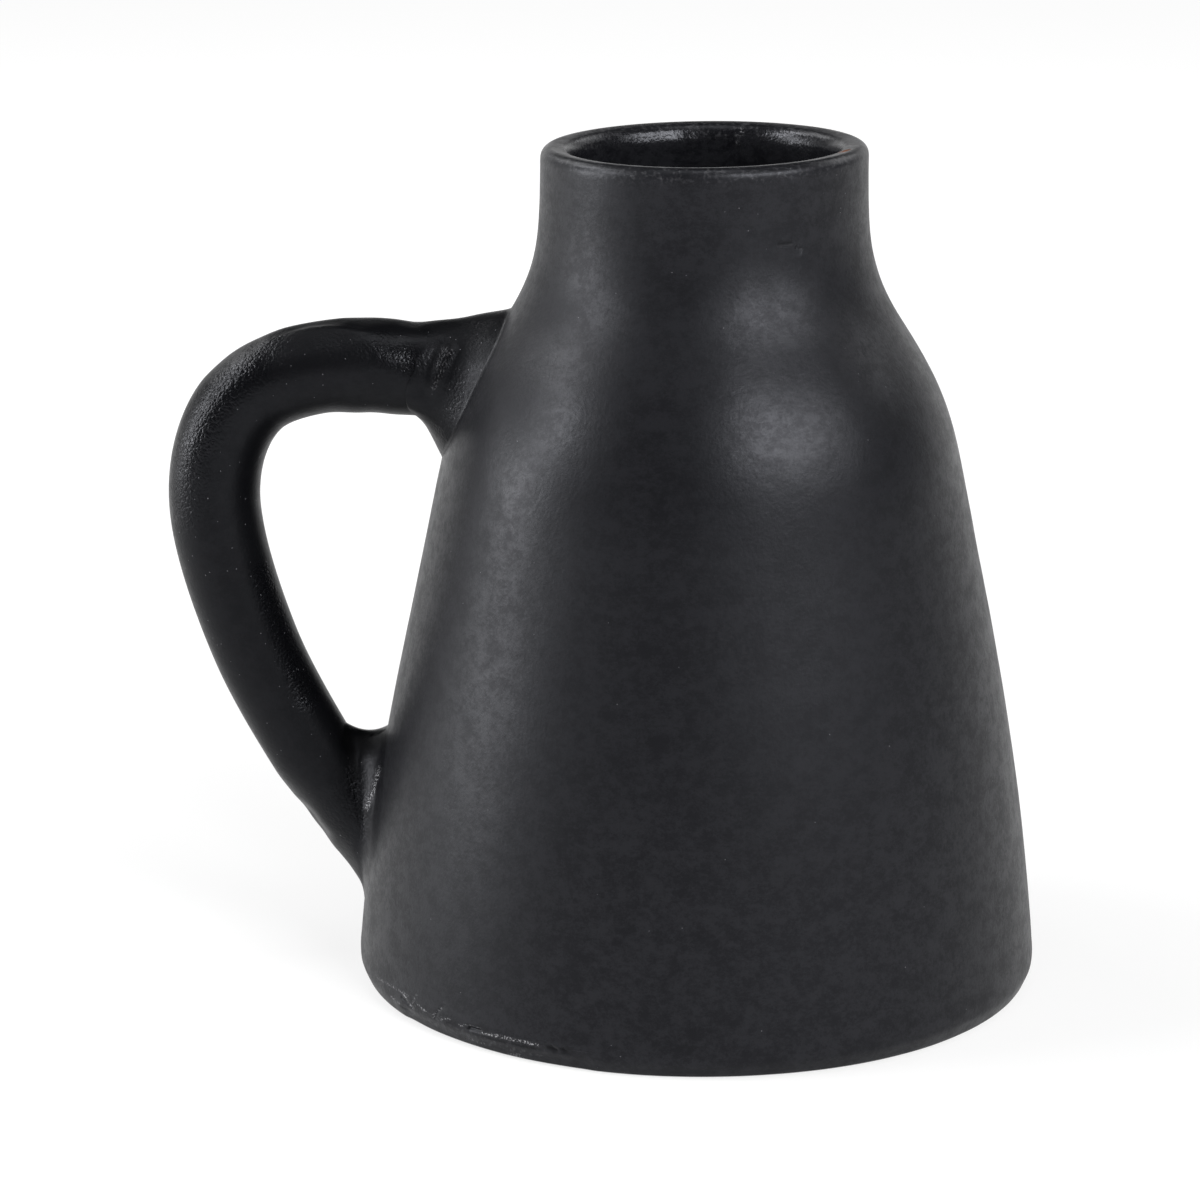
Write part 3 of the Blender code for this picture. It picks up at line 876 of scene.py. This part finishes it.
mottle_group, ins, mask = new_group("coat_mottle", ("Patches",), "Mask")
turned = add_node(mottle_group, "ShaderNodeMapping", {"Vector": ins["Vector"], "Scale": TURNED_STRETCH})
cloud = noise_node(mottle_group, turned.outputs[0], ins["Patches"], detail=5.0, roughness=0.95)
mottle_group.links.new(ramp_node(mottle_group, cloud, *PATCH_EDGES), mask)

grain_group, ins, height = new_group("clay_grain", ("Grains",), "Height")
peel = noise_node(grain_group, ins["Vector"], ins["Grains"], detail=2.0, roughness=0.55)
coarse = math_node(grain_group, "MULTIPLY", ins["Grains"], COARSE_GRAIN)
swell = noise_node(grain_group, ins["Vector"], coarse, detail=1.0)
grain_group.links.new(math_node(grain_group, "MULTIPLY_ADD", swell, COARSE_DEPTH, peel), height)
print("first effects:", mottle_group.name, grain_group.name)

# %% Leathery skin, specks and rubbing
LEATHER_WANDER = 0.8 * MM
CREASE_CURVE = 1.6
THIN_EDGES = (0.48, 0.72)

leather_group, ins, height = new_group("leather_skin", ("Creases", "Layer"), "Height")
wander = add_node(leather_group, "ShaderNodeTexNoise",
                  {"Vector": ins["Vector"], "Scale": ins["Creases"], "Detail": 0.0})
shift = add_node(leather_group, "ShaderNodeVectorMath",
                 {0: wander.outputs["Color"], "Scale": LEATHER_WANDER}, operation="SCALE")
moved = add_node(leather_group, "ShaderNodeVectorMath", {0: ins["Vector"], 1: shift.outputs[0]})
cells = add_node(leather_group, "ShaderNodeTexVoronoi",
                 {"Vector": moved.outputs[0], "Scale": ins["Creases"]})
dips = math_node(leather_group, "POWER", cells.outputs["Distance"], CREASE_CURVE)
domes = math_node(leather_group, "SUBTRACT", 1.0, dips)
leather_group.links.new(math_node(leather_group, "MULTIPLY", domes, ins["Layer"]), height)

speck_group, ins, mask = new_group("pale_specks", ("Specks", "Size", "Share"), "Mask")
dots = add_node(speck_group, "ShaderNodeTexVoronoi", {"Vector": ins["Vector"], "Scale": ins["Specks"]})
chosen = add_node(speck_group, "ShaderNodeSeparateColor", {"Color": dots.outputs["Color"]}).outputs["Red"]
near = math_node(speck_group, "LESS_THAN", dots.outputs["Distance"], ins["Size"])
kept = math_node(speck_group, "LESS_THAN", chosen, ins["Share"])
speck_group.links.new(math_node(speck_group, "MULTIPLY", near, kept), mask)

rub_group, ins, mask = new_group("rubbed_coat", ("Streaks", "Layer"), "Mask")
streaks = noise_node(rub_group, ins["Vector"], ins["Streaks"], detail=4.0, roughness=0.65)
thin = ramp_node(rub_group, streaks, *THIN_EDGES)
rub_group.links.new(math_node(rub_group, "MULTIPLY", thin, ins["Layer"]), mask)
print("effects:", ", ".join(sorted(group.name for group in bpy.data.node_groups)))

# %% [markdown]
# ## The coats
#
# One recipe makes the coat of every piece from a few values: its colour in hollows and on patches, how rough
# it is, and how deep its grain and leather go. The wall is the mattest, the handle is darker and glossier
# from being held, and inside the neck the coat ran and shines.

# %% Coat recipe
PATCHES = 150.0
GRAINS = 1150.0
CREASES = 1250.0
SPECKS = 900.0
SPECK_SIZE = 0.12
DUSTY_SHARE = 0.30
STREAKS = 900.0
SCRATCH_AND_HIGHLIGHT_STREAKS = 2200.0
RUBBED_COLOUR = (0.050, 0.050, 0.054, 1.0)
SPECK_COLOUR = (0.11, 0.11, 0.12, 1.0)
# Pale: scratches, and painted highlights on the ridges at the collar's crease and at the wad.
SCRATCH_AND_HIGHLIGHT_COLOUR = (0.45, 0.45, 0.47, 1.0)
# Near black: cracks, and painted shade in the pocket between the coil, the wad and the wall.
CRACK_AND_SHADE_COLOUR = (0.001, 0.001, 0.001, 1.0)
BARE_CLAY = (0.25, 0.100, 0.050, 1.0)
COOL_GLOSS = (0.90, 0.92, 1.0, 1.0)
GLAZE_GLOSS = 0.17
PATCH_GLOSS = 0.09
CRACK_AND_SHADE_DULL = 0.40
WALL_GREYS = ((0.0036, 0.0037, 0.0047), (0.0102, 0.0104, 0.0122))
HANDLE_GREYS = ((0.0015, 0.0016, 0.0021), (0.0034, 0.0035, 0.0042))


def use_group(tree, group, coords, **values):
    return add_node(tree, "ShaderNodeGroup", {"Vector": coords, **values}, node_tree=group).outputs[0]


def layer_node(tree, layer):
    return add_node(tree, "ShaderNodeAttribute", {}, attribute_name=layer).outputs["Fac"]


def mix_colours(tree, share, below, above):
    """Lays one colour over another by a share. A mix of colours has them on sockets 6 and 7."""
    inputs = {0: share, 6: below, 7: above}
    return add_node(tree, "ShaderNodeMix", inputs, data_type="RGBA").outputs[2]


def coat_colour(tree, coords, greys, speck_share):
    """Patchy grey, rubbed paler in places, with specks, scratches and painted highlights, cracks and
    painted shade, and bare clay, and its patches.
    """
    mottle = use_group(tree, mottle_group, coords, Patches=PATCHES)
    rubbed = use_group(tree, rub_group, coords, Streaks=STREAKS, Layer=layer_node(tree, "rub"))
    share = math_node(tree, "MULTIPLY_ADD", layer_node(tree, "dust"), DUSTY_SHARE, speck_share)
    specks = use_group(tree, speck_group, coords, Specks=SPECKS, Size=SPECK_SIZE, Share=share)
    scratch_and_highlight_mask = use_group(tree, rub_group, coords, Streaks=SCRATCH_AND_HIGHLIGHT_STREAKS, Layer=layer_node(tree, "scratch"))
    colour = mix_colours(tree, mottle, (*greys[0], 1.0), (*greys[1], 1.0))
    if greys is not WALL_GREYS:
        beside = mix_colours(tree, mottle, (*WALL_GREYS[0], 1.0), (*WALL_GREYS[1], 1.0))
        colour = mix_colours(tree, layer_node(tree, "near_wall"), colour, beside)
    colour = mix_colours(tree, rubbed, colour, RUBBED_COLOUR)
    colour = mix_colours(tree, specks, colour, SPECK_COLOUR)
    # Pale scratches and painted highlights.
    colour = mix_colours(tree, scratch_and_highlight_mask, colour, SCRATCH_AND_HIGHLIGHT_COLOUR)
    # Near-black cracks and painted shade.
    colour = mix_colours(tree, layer_node(tree, "crack"), colour, CRACK_AND_SHADE_COLOUR)
    return mottle, mix_colours(tree, layer_node(tree, "bare"), colour, BARE_CLAY)


def make_coat(name, greys, specular, roughness, shine, grain_depth, leather_depth=0.0, speck_share=0.0):
    """A black coat: shine is how much smoother polish makes it, depths are in millimetres."""
    material = bpy.data.materials.new(name)
    material.use_nodes = True
    tree = material.node_tree
    shader = tree.nodes["Principled BSDF"]
    shader.inputs["Specular IOR Level"].default_value = specular
    shader.inputs["Specular Tint"].default_value = COOL_GLOSS
    coords = add_node(tree, "ShaderNodeTexCoord", {}).outputs["Object"]
    mottle, colour = coat_colour(tree, coords, greys, speck_share)
    tree.links.new(colour, shader.inputs["Base Color"])

    uneven = math_node(tree, "MULTIPLY_ADD", mottle, -PATCH_GLOSS, roughness + PATCH_GLOSS / 2)
    polished = math_node(tree, "MULTIPLY_ADD", layer_node(tree, "polish"), -shine, uneven)
    glazed = math_node(tree, "MULTIPLY_ADD", layer_node(tree, "glaze"), -GLAZE_GLOSS, polished)
    dulled = math_node(tree, "MULTIPLY_ADD", layer_node(tree, "crack"), CRACK_AND_SHADE_DULL, glazed)
    tree.links.new(dulled, shader.inputs["Roughness"])

    grain = use_group(tree, grain_group, coords, Grains=GRAINS)
    bump = add_node(tree, "ShaderNodeBump", {"Height": grain, "Distance": grain_depth * MM, "Strength": 1.0})
    if leather_depth:
        leather = use_group(tree, leather_group, coords, Creases=CREASES, Layer=layer_node(tree, "leather"))
        bump = add_node(tree, "ShaderNodeBump", {"Height": leather, "Distance": leather_depth * MM,
                                                 "Strength": 1.0, "Normal": bump.outputs[0]})
    tree.links.new(bump.outputs[0], shader.inputs["Normal"])
    return material


# %% Coats for the pieces
COAT_VALUES = {
    "black_coat": dict(greys=WALL_GREYS, specular=0.21, roughness=0.44, shine=0.10, grain_depth=0.04,
                       leather_depth=0.10, speck_share=0.006),
    "slab_coat": dict(greys=WALL_GREYS, specular=0.21, roughness=0.44, shine=0.14, grain_depth=0.04,
                      speck_share=0.006),
    "handle_coat": dict(greys=HANDLE_GREYS, specular=0.17, roughness=0.38, shine=0.13, grain_depth=0.05,
                        leather_depth=0.13, speck_share=0.10),
    "collar_coat": dict(greys=HANDLE_GREYS, specular=0.17, roughness=0.39, shine=0.12, grain_depth=0.06,
                        leather_depth=0.13, speck_share=0.10),
    "web_coat": dict(greys=HANDLE_GREYS, specular=0.17, roughness=0.40, shine=0.14, grain_depth=0.06,
                     leather_depth=0.18, speck_share=0.06),
    "inner_coat": dict(greys=WALL_GREYS, specular=0.21, roughness=0.34, shine=0.10, grain_depth=0.08),
}
COATS = {name: make_coat(name, **values) for name, values in COAT_VALUES.items()}
PIECES = (
    (wall, "body_wall", "black_coat"),
    (slab, "base_slab", "slab_coat"),
    (coil, "handle_coil", "handle_coat"),
    (collar, "upper_collar", "collar_coat"),
    (wad, "lower_web", "web_coat"),
)
for piece, node, slot in PIECES:
    piece.data.materials.clear()
    piece.data.materials.append(COATS[slot])
    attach(piece, "root")
    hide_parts(node)
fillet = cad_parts["seam_coil"]
fillet.data.materials.clear()
fillet.data.materials.append(COATS["inner_coat"])
print(f"{len(PIECES)} pieces coated, and the seam coil keeps its shape")

# %% [markdown]
# ## Floor, light and background
#
# A pale floor in soft studio light: a panel and two softboxes at the left, a tall softbox at the right with
# two smaller ones beside it, four weak ones behind for the edges and one above. A brighter world would also
# whiten the background, but it would grey the black coat. So for the camera and for reflections the floor
# mixes its own shade with a white glow that grows away from the vase, and the shadow stays. The sky is white
# only low down behind the vase, like a paper backdrop there.

# %% Floor
FLOOR_SIZE = 14.0
FLOOR_GREY = 0.80
SHADOW_SHARE = 0.28
GLOW_NEAR = 0.70
GLOW_FAR = 0.92
GLOW_FROM = 0.12
GLOW_TO = 1.1


def grey(level):
    return (level, level, level, 1.0)


def seen_ray(tree):
    """1 for rays that show the background: from the camera, in a reflection or through glass."""
    rays = add_node(tree, "ShaderNodeLightPath", {}).outputs
    seen = math_node(tree, "MAXIMUM", rays["Is Camera Ray"], rays["Is Glossy Ray"])
    return math_node(tree, "MAXIMUM", seen, rays["Is Transmission Ray"])


bpy.ops.object.select_all(action="DESELECT")
bpy.ops.mesh.primitive_plane_add(size=FLOOR_SIZE)
floor = bpy.context.object
floor.name = "floor"

floor_paint = bpy.data.materials.new("pale_floor")
floor_paint.use_nodes = True
tree = floor_paint.node_tree
tree.nodes.clear()
coords = add_node(tree, "ShaderNodeTexCoord", {}).outputs["Object"]
away = add_node(tree, "ShaderNodeVectorMath", {0: coords}, operation="LENGTH").outputs["Value"]
glow_level = add_node(tree, "ShaderNodeMapRange",
                      {"Value": away, "From Min": GLOW_FROM, "From Max": GLOW_TO,
                       "To Min": GLOW_NEAR, "To Max": GLOW_FAR})
plain = add_node(tree, "ShaderNodeBsdfDiffuse", {"Color": grey(FLOOR_GREY)})
shaded = add_node(tree, "ShaderNodeBsdfDiffuse", {"Color": grey(SHADOW_SHARE)})
glow = add_node(tree, "ShaderNodeEmission", {"Strength": glow_level.outputs[0]})
white = add_node(tree, "ShaderNodeAddShader", {0: shaded.outputs[0], 1: glow.outputs[0]})
shown = add_node(tree, "ShaderNodeMixShader",
                 {0: seen_ray(tree), 1: plain.outputs[0], 2: white.outputs[0]})
add_node(tree, "ShaderNodeOutputMaterial", {"Surface": shown.outputs[0]})
floor.data.materials.append(floor_paint)
print(f"floor {FLOOR_SIZE:.0f} m wide")

# %% Background and view
BACKDROP_TOP = (0.42, 0.14)
BACKDROP_SIDE = (0.40, 0.85)

bpy.context.scene.view_settings.view_transform = "Standard"
world = bpy.data.worlds.new("studio")
bpy.context.scene.world = world
world.use_nodes = True
tree = world.node_tree
sky = tree.nodes["Background"]
sky.inputs["Color"].default_value = grey(1.0)
direction = add_node(tree, "ShaderNodeTexCoord", {}).outputs["Generated"]
along = add_node(tree, "ShaderNodeSeparateXYZ", {0: direction}).outputs
backdrop = math_node(tree, "MULTIPLY", ramp_node(tree, along["Z"], *BACKDROP_TOP),
                     ramp_node(tree, along["Y"], *BACKDROP_SIDE))
tree.links.new(math_node(tree, "MULTIPLY", backdrop, seen_ray(tree)), sky.inputs["Strength"])
print("background:", world.name)

# %% Lamps
LAMP_TARGET = Vector((0.0, 0.0, 0.12))
LAMP_DISTANCE = 1.5
LAMPS = (
    ("left_panel", -86, 6, 0.50, 0.42, 9.7),
    ("left_key", -76, 27, 0.45, 0.40, 9.4),
    ("left_high", -99, 42, 0.45, 0.36, 7.0),
    ("left_rear", -108, 10, 0.45, 0.50, 1.2),
    ("right_key", 30, 34, 0.45, 0.70, 12.2),
    ("right_side", 47, 30, 0.55, 0.50, 8.8),
    ("right_fill", 64, 28, 0.50, 0.50, 5.0),
    ("right_rear", 116, 30, 0.60, 0.50, 1.8),
    ("back_right", 138, 34, 0.50, 0.50, 2.0),
    ("back_left", -128, 36, 0.80, 0.50, 4.5),
    ("top_soft", 0, 82, 0.80, 0.80, 4.0),
)
for name, azimuth, elevation, width, height, watts in LAMPS:
    turn_angle, rise = math.radians(azimuth), math.radians(elevation)
    level = Vector((math.sin(turn_angle), -math.cos(turn_angle), 0.0))
    away = level * math.cos(rise) + Vector((0.0, 0.0, math.sin(rise)))
    bpy.ops.object.light_add(type="AREA", location=LAMP_TARGET + away * LAMP_DISTANCE,
                             rotation=away.to_track_quat("Z", "Y").to_euler())
    lamp = bpy.context.object
    lamp.name = name
    lamp.data.shape = "RECTANGLE"
    lamp.data.size = width
    lamp.data.size_y = height
    lamp.data.energy = watts
    lamp.visible_camera = False
print(f"{len(LAMPS)} lamps, {sum(lamp[-1] for lamp in LAMPS):.0f} W in all")
